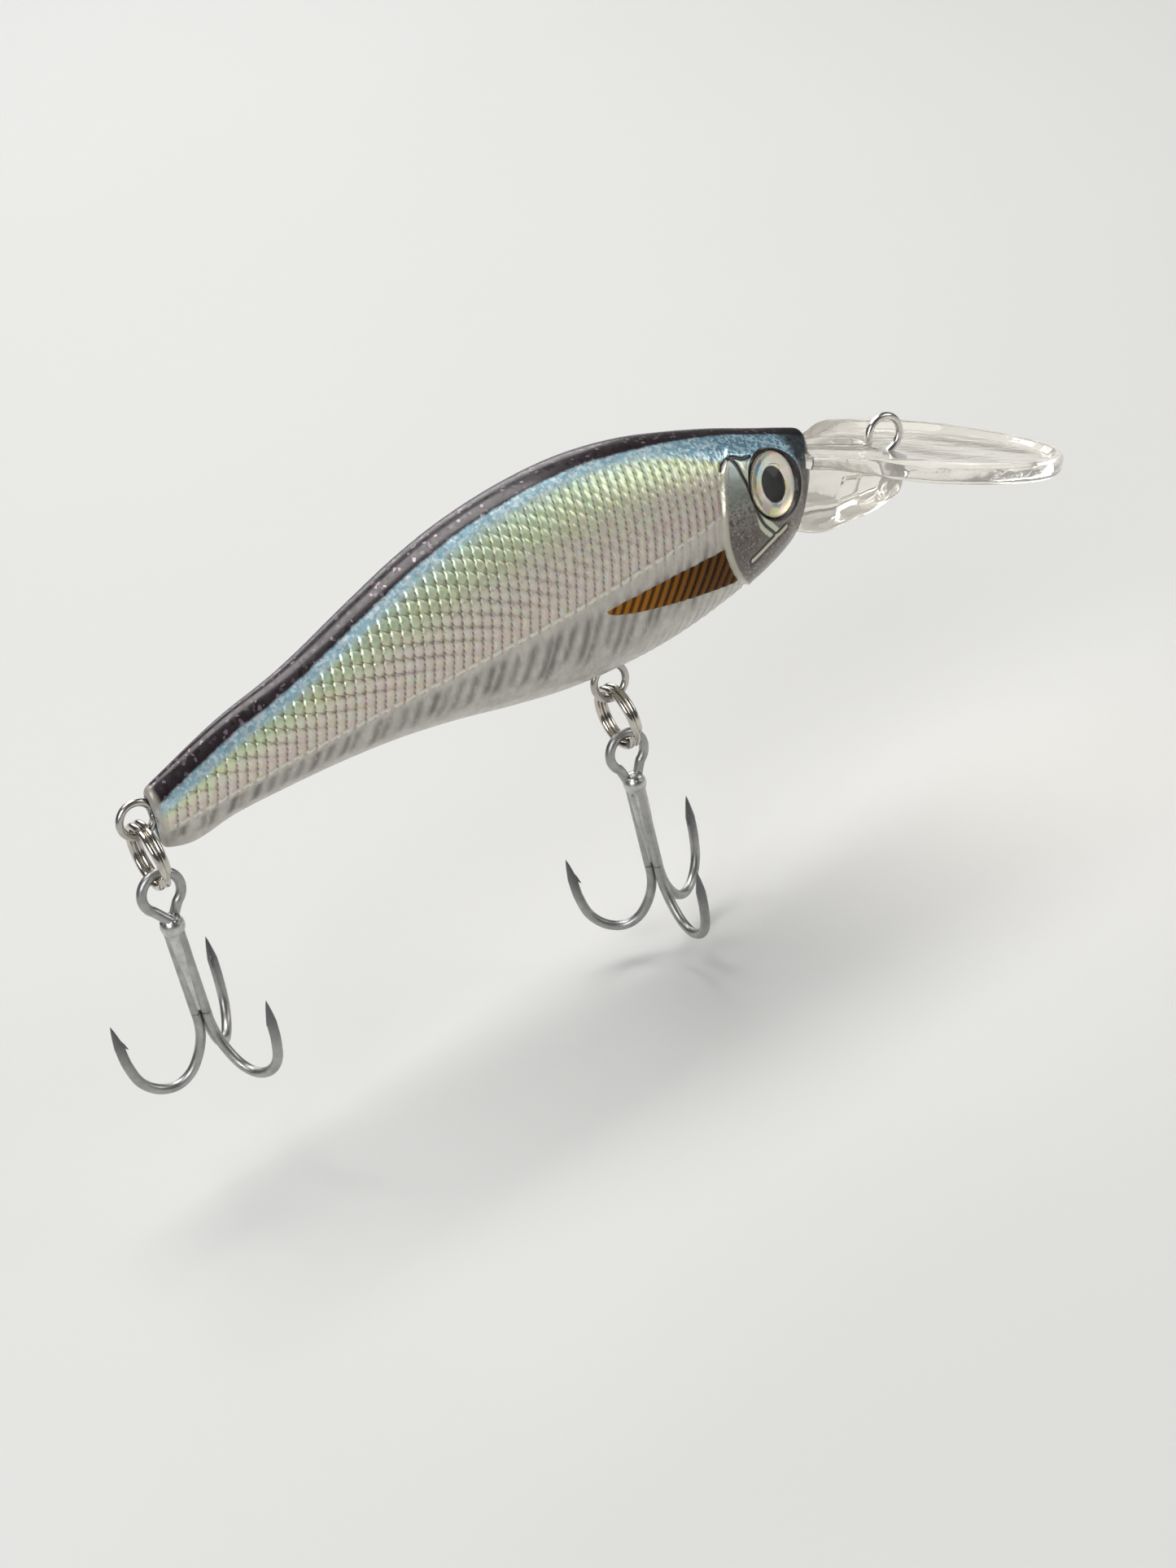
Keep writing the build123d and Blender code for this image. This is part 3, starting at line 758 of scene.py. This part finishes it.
# ---- clear plastic
def clear_material(name, tint, roughness, flow, strength, ior, transmission):
    g = Nodes(name)
    place = g.place()
    wave = g.noise(g.scaled(place, flow), 1.0, 3.0, 0.55)
    haze = g.noise(place, 420, 3.0, 0.6)
    pale = tuple(min(1.0, c * 1.02) for c in tint)
    g.put("Base Color", g.mix(g.step(haze, 0.35, 0.75), tint, pale))
    g.put("Roughness", g.spread(haze, roughness, roughness + 0.05))
    g.put("Transmission Weight", transmission)
    g.put("IOR", ior)
    g.put("Normal", g.bump(wave, strength, 0.0002))
    # lamps light what lies inside or behind the plastic
    nodes, links = g.tree.nodes, g.tree.links
    path = nodes.new("ShaderNodeLightPath")
    open_shader = nodes.new("ShaderNodeBsdfTransparent")
    open_shader.inputs["Color"].default_value = (0.93, 0.92, 0.89, 1)
    mixer = nodes.new("ShaderNodeMixShader")
    links.new(path.outputs["Is Shadow Ray"], mixer.inputs["Fac"])
    links.new(g.shader.outputs["BSDF"], mixer.inputs[1])
    links.new(open_shader.outputs["BSDF"], mixer.inputs[2])
    links.new(mixer.outputs["Shader"], g.output.inputs["Surface"])
    return g.material


clear_lip = clear_material("clear_lip_plastic", (0.96, 0.935, 0.88), 0.025, (260, 900, 260), 0.35, 1.58, 0.88)
clear_lens = clear_material("clear_lens_plastic", (0.98, 0.98, 0.97), 0.01, (200, 200, 200), 0.05, 1.22, 1.0)

# ---- diving lip
LIP_S = np.array([math.cos(NOSE_SLOPE), 0.0, -math.sin(NOSE_SLOPE)])
LIP_K = np.array([math.sin(NOSE_SLOPE), 0.0, math.cos(NOSE_SLOPE)])
LIP_ORIGIN = np.array([NOSE_ROOT[0], 0.0, NOSE_ROOT[1]])
LIP_LENGTH = 27.25
# blade's end inside the head, heights of its dished face and underside, and its rounded edge
BLADE_BACK = -1.8
FACE_K, UNDER_K = 0.50, -0.60
EDGE_ROUND, EDGE_TURN = 0.28, 80
LIP_OUTLINE = [
    (0.0, 3.5), (1.5, 3.95), (3.5, 5.2), (6.0, 6.95), (8.5, 7.85), (11.0, 8.2), (13.5, 8.25), (17.0, 7.95),
    (20.5, 7.05), (23.6, 5.4), (25.7, 3.6), (26.9, 1.7), (27.25, 0.0),
]
# chin block's underside and half width along the lip
BLOCK_BOTTOM = [
    (-2.4, -6.0), (-0.8, -6.35), (0.6, -6.35), (3.6, -5.35), (7.4, -3.55), (8.9, -2.35), (9.7, -0.7),
]
BLOCK_HALF = [(-2.4, 2.3), (-0.4, 3.25), (3.0, 3.48), (7.0, 3.3), (8.8, 2.7), (9.7, 1.5)]


def lip_point(s, t, k):
    """Points from distances along the lip, across it and square to its face."""
    across = np.multiply.outer(t, [0, 1, 0])
    return LIP_ORIGIN + np.multiply.outer(s, LIP_S) + across + np.multiply.outer(k, LIP_K)


def blade():
    """Dished blade with a raised rounded rim, thick near the head and thin at the tip."""
    edge = smooth_curve(LIP_OUTLINE, 120)
    edge[0, 0] = BLADE_BACK
    outline = np.vstack((edge, edge[::-1][1:] * np.array([1, -1])))
    total = len(outline)
    # section of the rim from the underside centre, round the edge, to the dished face
    spine = np.interp(outline[:, 0], [BLADE_BACK, LIP_LENGTH], [BLADE_BACK, LIP_LENGTH - 4.5])
    inward = np.stack((spine, np.zeros(total)), axis=1) - outline
    distance = np.linalg.norm(inward, axis=1)
    unit = inward / np.maximum(distance, 1e-6)[:, None]
    s_edge = outline[:, 0]
    rim_high = 0.55 + 0.75 * soft(s_edge, 1.0, 8.0) * (1 - 0.35 * soft(s_edge, 16.0, LIP_LENGTH))
    profile = [("under", f) for f in np.linspace(1.0, 0.04, 22)]
    profile += [("edge", a) for a in np.linspace(-EDGE_TURN, EDGE_TURN, 9)]
    profile += [("face", f) for f in np.linspace(0.0, 1.0, 40)]
    grid = []
    for kind, value in profile:
        if kind == "under":
            inset = EDGE_ROUND + (distance - EDGE_ROUND) * value**1.3
            k = np.full(total, UNDER_K) + 0.05 * np.minimum(inset, 2.0) / 2.0
        elif kind == "edge":
            a = math.radians(value)
            half = (UNDER_K + rim_high) / 2
            reach = (rim_high - UNDER_K) / 2
            inset = EDGE_ROUND * (1 - math.cos(a))
            k = half + reach * math.sin(a) / math.sin(math.radians(EDGE_TURN))
        else:
            inset = 0.23 + (distance - 0.23) * value**1.6
            k = FACE_K + (rim_high - FACE_K) * soft(inset, 1.45, 0.75) - 0.10 * soft(inset, 1.5, 5.0)
        xy = outline + unit * np.broadcast_to(inset, (total,))[:, None]
        if kind == "face":
            # rounded neck from the head to the line tie, and small flow ripples in the face
            swell = soft(xy[:, 0], BLADE_BACK, 2.6) * (1 - soft(xy[:, 0], 4.6, 8.6))
            neck = np.exp(-((xy[:, 1] / 1.55) ** 2)) * (1 - soft(xy[:, 0], 7.0, 10.5))
            k = k + (0.15 + 0.85 * swell) * neck
            ripple = np.sin(0.55 * xy[:, 0] + 0.8) * np.sin(0.7 * xy[:, 1] + 0.4)
            k = k + 0.05 * ripple * soft(inset, 1.6, 3.0)
        grid.append(lip_point(xy[:, 0], xy[:, 1], np.broadcast_to(k, (total,))))
    grid = np.array(grid)
    return mesh_object("blade_part", grid, grid_faces(*grid.shape[:2]))


def lip_object():
    """Blade and chin block as one clear piece."""
    obj = blade()
    seal(obj, merge=True)

    # chin block under the blade, rounded below and drawn in towards the front
    rows = []
    around = 48
    a = np.linspace(0, 2 * np.pi, around, endpoint=False)
    squareness = 0.34
    for t in np.linspace(0, 1, 44):
        s = -2.4 + 12.1 * t
        bottom = smooth_value(s, BLOCK_BOTTOM)
        half = smooth_value(s, BLOCK_HALF)
        y = half * np.sign(np.cos(a)) * np.abs(np.cos(a)) ** squareness
        k = np.sign(np.sin(a)) * np.abs(np.sin(a)) ** squareness
        # shallow moulded panel in each side
        panel = soft(s, 1.6, 1.9) * (1 - soft(s, 6.2, 6.5)) * soft(-np.abs(k + 0.05), -0.62, -0.52)
        y = y * (1 - 0.13 * panel)
        top = 0.1
        k = (top + bottom) / 2 + (top - bottom) / 2 * k
        rows.append(lip_point(np.full(around, s), y, k))
    block = mesh_object("block_part", np.array(rows), grid_faces(len(rows), around, wrap=True))
    seal(block)
    union = obj.modifiers.new("union", "BOOLEAN")
    union.operation = "UNION"
    union.solver = "EXACT"
    union.object = block
    depsgraph = bpy.context.evaluated_depsgraph_get()
    mesh = bpy.data.meshes.new_from_object(obj.evaluated_get(depsgraph))
    obj.modifiers.clear()
    obj.data = mesh
    bpy.data.objects.remove(block)
    obj.name = "clear_diving_lip"
    mesh.materials.clear()
    mesh.materials.append(clear_lip)
    mesh.polygons.foreach_set("use_smooth", np.full(len(mesh.polygons), True))
    mesh.set_sharp_from_angle(angle=math.radians(40))
    return obj


lip = lip_object()
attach(lip, "lure")
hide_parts("diving_lip")


# ---- wires
HANGER_WIRE = 0.325
BELLY_LOOP = (-31.2, 0, -9.6)
BELLY_LOOP_BEND = 1.55
TAIL_LOOP = (-73.8, 0, -1.4)
TAIL_LOOP_BEND = 1.45


def arc_points(centre, radius, start, end, count):
    """Arc in the plane y = const, with its angles in degrees."""
    a = np.radians(np.linspace(start, end, count))
    x, y, z = centre
    return np.stack((x + radius * np.cos(a), np.full(count, y), z + radius * np.sin(a)), axis=1)


# line tie: one leg runs forward under the loop and round it, the other turns back above the first
LOOP_S, LOOP_K = 8.07, 1.79
loop = [(1.62 * math.cos(a), 1.62 * math.sin(a)) for a in np.radians(np.linspace(-48, 206, 34))]
run = [(-11.0, -2.2), (-7.0, -2.2), (-3.0, -2.2), (-1.0, -2.16), (0.35, -1.86)] + loop
run += [(-1.62, -1.28), (-2.05, -1.58), (-3.2, -1.72), (-6.0, -1.74), (-10.5, -1.74)]
run = smooth_curve(run, 260)
path = lip_point(LOOP_S + run[:, 0], np.zeros(len(run)), LOOP_K + run[:, 1])
tie = tube("line_tie_loop", path, HANGER_WIRE, lit_tie_steel)
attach(tie, "lure")
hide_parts("line_tie_wire")

# belly and tail hangers: loops with their legs run into the body
BELLY_LEGS = [(-30.95, 0, -5.6), (-30.97, 0, -7.2), (-31.43, 0, -7.2), (-31.45, 0, -5.6)]
TAIL_LEGS = [(-67.8, 0, -1.68), (-70.6, 0, -1.68), (-70.6, 0, -1.12), (-67.8, 0, -1.12)]
for kind, arc, legs in (
    ("belly", arc_points(BELLY_LOOP, BELLY_LOOP_BEND, 82, -262, 90), BELLY_LEGS),
    ("tail", arc_points(TAIL_LOOP, TAIL_LOOP_BEND, -10, -350, 90), TAIL_LEGS),
):
    path = smooth_curve(np.vstack((legs[:2], arc[::3], legs[2:])), 240)
    hanger = tube(kind + "_hanger_loop", path, HANGER_WIRE, hanger_steel)
    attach(hanger, "lure")
    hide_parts(kind + "_hanger_wire")


# ---- split rings
RING_WIRE = 0.292
RING_BEND = 2.65
TURN_GAP = 0.30
# the ring hangs with its wire on the inside of the loop's lower bend
RING_DROP = 0.17 + TURN_GAP - RING_BEND
BELLY_RING_Z = BELLY_LOOP[2] - BELLY_LOOP_BEND + HANGER_WIRE + RING_DROP
TAIL_RING_Z = TAIL_LOOP[2] - TAIL_LOOP_BEND + HANGER_WIRE + RING_DROP


def split_ring(kind, x, z):
    """Flat double coil: two turns side by side with a step where the wire crosses over."""
    turns = np.linspace(0, 2, 260)
    across = TURN_GAP * (2 * soft(turns, 0.82, 1.18) - 1)
    a = 2 * np.pi * turns + math.radians(200)
    path = np.stack((x + across, RING_BEND * np.cos(a), z + RING_BEND * np.sin(a)), axis=1)
    radii = np.full(len(path), RING_WIRE)
    radii[:5] = np.linspace(0.12, RING_WIRE, 5)
    radii[-5:] = np.linspace(RING_WIRE, 0.12, 5)
    ring = tube(kind + "_ring_coil", path, radii, ring_nickel, 18)
    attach(ring, kind + "_ring")
    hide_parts(kind + "_split_ring")


split_ring("belly", BELLY_LOOP[0], BELLY_RING_Z)
split_ring("tail", TAIL_LOOP[0], TAIL_RING_Z)


# ---- treble hooks
HOOK_WIRE = 0.425
HOOK_OFFSET, HOOK_REACH, HOOK_BOTTOM = 0.50, 7.2, -16.95
GAPE = HOOK_REACH - HOOK_OFFSET
EYE_BEND = 1.70
# the treble's eye hangs on the ring's lower bend
EYE_DROP = TURN_GAP + 0.12 + HOOK_WIRE - EYE_BEND - RING_BEND


def hook_path(top):
    """Shank, bend and point of a hook in the plane y = 0, below the centre of the treble's eye."""
    bend = smooth_curve(
        [
            (HOOK_OFFSET, -11.4),
            (HOOK_OFFSET, -12.2),
            (HOOK_OFFSET + 0.035 * GAPE, HOOK_BOTTOM + 3.3),
            (HOOK_OFFSET + 0.14 * GAPE, HOOK_BOTTOM + 1.75),
            (HOOK_OFFSET + 0.30 * GAPE, HOOK_BOTTOM + 0.50),
            (HOOK_OFFSET + 0.50 * GAPE, HOOK_BOTTOM),
            (HOOK_OFFSET + 0.72 * GAPE, HOOK_BOTTOM + 0.42),
            (HOOK_OFFSET + 0.90 * GAPE, HOOK_BOTTOM + 1.70),
            (HOOK_REACH - 0.08, HOOK_BOTTOM + 3.75),
            (HOOK_REACH + 0.06, HOOK_BOTTOM + 5.6),
            (HOOK_REACH + 0.20, -9.25),
        ],
        150,
    )
    shank = np.stack((np.full(30, HOOK_OFFSET), np.linspace(top, -11.5, 30)), axis=1)
    return np.insert(np.vstack((shank, bend)), 1, 0.0, axis=1)


def one_hook(name, angle, top, eye_place):
    """Tapered hook with its barb, turned about the shank."""
    path = hook_path(top)
    length = np.concatenate(([0], np.cumsum(np.linalg.norm(np.diff(path, axis=0), axis=1))))
    left = length[-1] - length
    radii = np.maximum(HOOK_WIRE * np.clip(left / 2.1, 0, 1) ** 0.75, 0.025)
    hook = tube(name, path, radii, hook_nickel)
    float_attribute(hook, "point", np.append(np.repeat(1 - np.clip(left / 7.5, 0, 1), 20), (0.0, 1.0)))
    # barb: a sharp sliver cut up from the inside of the point
    root = np.array([HOOK_REACH + 0.10, 0, -10.85])
    barb = smooth_curve([root, root + (-0.30, 0, -0.30), root + (-0.68, 0, -1.0)], 16)
    sliver = tube(name + "_barb", barb, np.linspace(0.30, 0.03, 16), hook_nickel, 12)
    float_attribute(sliver, "point", np.full(len(sliver.data.vertices), 0.8))
    whole = join(name, [hook, sliver])
    spin = Matrix.Rotation(math.radians(angle), 4, "Z")
    whole.data.transform(Matrix.Translation(Vector(eye_place) * MM) @ spin)
    return whole


def braze_radius(h, a, angles):
    """Reach of the braze round the shanks at one height: a bead at the eye, then filled grooves."""
    reach = np.zeros(len(a))
    for angle in angles:
        b = math.radians(angle)
        along = HOOK_OFFSET * np.cos(a - b)
        off = HOOK_OFFSET * np.sin(a - b)
        chord = along + np.sqrt(np.clip(HOOK_WIRE**2 - off**2, 0, None))
        reach = np.maximum(reach, np.where(np.abs(off) < HOOK_WIRE, chord, 0))
    bead = 1.02 * np.sqrt(np.clip(1 - ((h + 3.16) / 1.03) ** 2, 0, 1))
    groove = 0.79 - 0.22 * soft(-h, 5.0, 11.0) if h < -2.4 else 0
    radius = np.maximum(np.maximum(bead, np.minimum(groove, reach + 0.30)), 0.05)
    return radius * (1 - 0.5 * max(-11.0 - h, 0) / 0.4)


def treble(kind, x, ring_z, angles):
    """Third hook at the first angle, and the double hook with its eye at the other two."""
    place = (x, 0.0, ring_z + EYE_DROP)
    # eye: the pair's wire bends into a ring and runs down into both shanks
    a = np.radians(np.linspace(-52, 232, 80))
    eye = np.stack((x + EYE_BEND * np.cos(a), np.zeros(80), place[2] + EYE_BEND * np.sin(a)), axis=1)
    tails = [
        (x + HOOK_OFFSET * math.cos(b), HOOK_OFFSET * math.sin(b), place[2] - 3.0)
        for b in map(math.radians, angles[1:])
    ]
    start, finish = sorted(tails, reverse=True)
    path = smooth_curve(np.vstack(([start], eye[::2], [finish])), 180)
    ring = tube(kind + "_eye", path, HOOK_WIRE, hook_nickel)
    float_attribute(ring, "point", np.zeros(len(ring.data.vertices)))
    hooks = [one_hook(kind + "_hook_%d" % i, angle, -2.4, place) for i, angle in enumerate(angles[1:])]
    pair = join(kind + "_double_hook", [ring] + hooks)
    third = one_hook(kind + "_single_hook", angles[0], -2.55, place)
    for piece, node in ((pair, "_treble_pair"), (third, "_treble_third")):
        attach(piece, kind + "_treble")
        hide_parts(kind + node)
    # braze: a bright bead at the eye running down the grooves of the shank
    ring_count = 36
    a = np.linspace(0, 2 * np.pi, ring_count, endpoint=False)
    verts = []
    for h in np.linspace(-2.14, -11.4, 70):
        radius = braze_radius(h, a, angles)
        height = np.full(ring_count, place[2] + h)
        verts.append(np.stack((x + radius * np.cos(a), radius * np.sin(a), height), axis=1))
    faces = [tuple(f) for f in grid_faces(len(verts), ring_count, wrap=True).tolist()]
    faces.append(tuple(range(ring_count))[::-1])
    faces.append(tuple((len(verts) - 1) * ring_count + i for i in range(ring_count)))
    bead = mesh_object(kind + "_braze_bead", np.array(verts), faces, braze_metal)
    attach(bead, kind + "_treble")
    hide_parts(kind + "_treble_braze")


treble("belly", BELLY_LOOP[0], BELLY_RING_Z, (-90.0, 30.0, 150.0))
treble("tail", TAIL_LOOP[0], TAIL_RING_Z, (176.0, 56.0, -64.0))


# ---- eyes
# tints of the foil's flakes
FOIL_STOPS = [
    (0.15, (0.52, 0.74, 0.92)),
    (0.35, (0.95, 0.80, 0.42)),
    (0.48, (0.92, 0.91, 0.86)),
    (0.60, (0.95, 0.70, 0.62)),
    (0.75, (0.62, 0.86, 0.76)),
    (0.88, (0.96, 0.84, 0.40)),
]


def foil_material():
    g = Nodes("eye_pearl_foil")
    value = g.grey(g.cells(g.place(), 950))
    rim = g.step(g.attribute("ring"), 0.90, 1.0)
    g.put("Base Color", g.mix(rim, g.ramp(value, FOIL_STOPS), (0.50, 0.44, 0.36)))
    g.put("Metallic", 0.7)
    g.put("Roughness", g.spread(value, 0.16, 0.42))
    g.put("Normal", g.bump(value, 0.5, 0.0001))
    return g.material


def pupil_material():
    g = Nodes("eye_printed_black")
    speck = g.noise(g.place(), 2500, 2.0, 0.6)
    black = g.mix(g.step(speck, 0.5, 0.7), (0.004, 0.004, 0.005), (0.012, 0.011, 0.013))
    g.put("Base Color", black)
    g.put("Roughness", g.spread(speck, 0.40, 0.55))
    g.put("Specular IOR Level", 0.1)
    return g.material


FOIL_RADIUS = 2.70
PUPIL_HALF = (1.18, 1.46)
LENS_RADIUS, LENS_RISE = 2.78, 1.12
eye_foil_paint = foil_material()
eye_black = pupil_material()


def disc_piece(name, side, lift, material, profile, oval=(1.0, 1.0)):
    """Turned piece on the eye's axis from a profile of (radius, height) rows."""
    count = 72
    normal = np.array([EYE_NORMAL[0], side * EYE_NORMAL[1], EYE_NORMAL[2]])
    centre = EYE_CENTRE * np.array([1, side, 1]) + normal * (lift - SOCKET_DEPTH)
    across = np.array([1.0, 0, 0]) - normal * normal[0]
    across /= np.linalg.norm(across)
    up = np.cross(normal, across)
    if up[2] < 0:
        up = -up
    a = np.linspace(0, 2 * np.pi, count, endpoint=False)
    verts = []
    radii = []
    for radius, height in profile:
        ring = (
            centre
            + np.multiply.outer(radius * oval[0] * np.cos(a), across)
            + np.multiply.outer(radius * oval[1] * np.sin(a), up)
            + normal * height
        )
        verts.append(ring)
        radii.append(np.full(count, radius))
    faces = [tuple(f) for f in grid_faces(len(profile), count, wrap=True).tolist()]
    faces.append(tuple(range(count)))
    faces.append(tuple((len(profile) - 1) * count + i for i in range(count))[::-1])
    obj = mesh_object(name, np.array(verts), faces, material)
    float_attribute(obj, "ring", np.concatenate(radii) / max(r for r, h in profile))
    seal(obj, fill=False)
    obj.data.set_sharp_from_angle(angle=math.radians(35))
    return obj


for side_name, side in (("right", -1), ("left", 1)):
    dish = [(FOIL_RADIUS, 0.02), (FOIL_RADIUS + 0.02, 0.24)]
    dish += [(r, 0.24 - 0.04 * (1 - (r / 2.9) ** 2)) for r in np.linspace(2.66, 0.15, 22)]
    foil = disc_piece("pearl_iris_" + side_name, side, 0.0, eye_foil_paint, dish)
    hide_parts("eye_foil_" + side_name)
    dot = [(1.0, 0.0), (1.0, 0.05)]
    dot += [(math.cos(t), 0.05 + 0.05 * math.sin(t)) for t in np.linspace(0.1, 1.45, 8)]
    pupil = disc_piece("oval_pupil_" + side_name, side, 0.20, eye_black, dot, PUPIL_HALF)
    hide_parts("eye_pupil_" + side_name)
    dome = [(0.05, 0.06), (1.58, 0.06), (1.62, 0.0), (LENS_RADIUS - 0.02, 0.0), (LENS_RADIUS, 0.12)]
    ball = (LENS_RADIUS**2 + LENS_RISE**2) / (2 * LENS_RISE)
    dome += [(r, 0.12 + math.sqrt(ball**2 - r**2) - (ball - LENS_RISE)) for r in np.linspace(2.74, 0.08, 30)]
    lens = disc_piece("eye_dome_" + side_name, side, 0.26, clear_lens, dome)
    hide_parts("eye_lens_" + side_name)
    for piece in (foil, pupil, lens):
        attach(piece, "lure")

# hidden ballast keeps its CAD shape
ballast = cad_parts["ballast_weight"]
for holder in ballast.material_slots:
    holder.material = ballast_metal


# ---- floor and light
def floor_material():
    g = Nodes("pale_floor")
    cloud = g.noise(g.place(), 6.0, 4.0, 0.5)
    g.put("Base Color", g.mix(cloud, (0.60, 0.60, 0.59), (0.64, 0.64, 0.63)))
    g.put("Roughness", 0.85)
    return g.material


FLOOR_REACH = 1.5
FLOOR_GAP = 0.003
floor_z = cad_box[0][2] - FLOOR_GAP
floor_corners = [(FLOOR_REACH * x, FLOOR_REACH * y, floor_z) for x, y in ((-1, -1), (1, -1), (1, 1), (-1, 1))]
floor_mesh = bpy.data.meshes.new("floor")
floor_mesh.from_pydata(floor_corners, [], [(0, 1, 2, 3)])
floor_mesh.materials.append(floor_material())
floor = link(bpy.data.objects.new("floor", floor_mesh))


def area_light(name, place, size, power, colour):
    """Rectangular lamp aimed at the middle of the lure."""
    data = bpy.data.lights.new(name, "AREA")
    data.shape = "RECTANGLE"
    data.size, data.size_y = size
    data.energy = power
    data.color = colour
    lamp = link(bpy.data.objects.new(name, data))
    place = Vector(place)
    aim = (Vector(MIDDLE) - place).to_track_quat("-Z", "Y")
    lamp.matrix_world = Matrix.Translation(place) @ aim.to_matrix().to_4x4()


MIDDLE = (-0.03, 0.0, 0.0)
area_light("soft_top", (-0.05, 0.12, 0.50), (0.40, 0.30), 2.6, (1.0, 0.99, 0.97))
area_light("soft_left", (-0.45, -0.30, 0.30), (0.30, 0.30), 1.5, (0.97, 0.98, 1.0))
area_light("soft_right", (0.40, -0.25, 0.25), (0.25, 0.30), 0.6, (1.0, 0.98, 0.95))
area_light("soft_back", (0.10, 0.45, 0.20), (0.35, 0.25), 0.8, (1.0, 1.0, 1.0))
world = bpy.data.worlds.new("studio")
world.use_nodes = True
sky = world.node_tree.nodes["Background"].inputs
sky["Color"].default_value = (0.82, 0.84, 0.86, 1)
sky["Strength"].default_value = 0.12
scene.world = world
scene.view_settings.view_transform = "Standard"

bpy.context.view_layer.update()
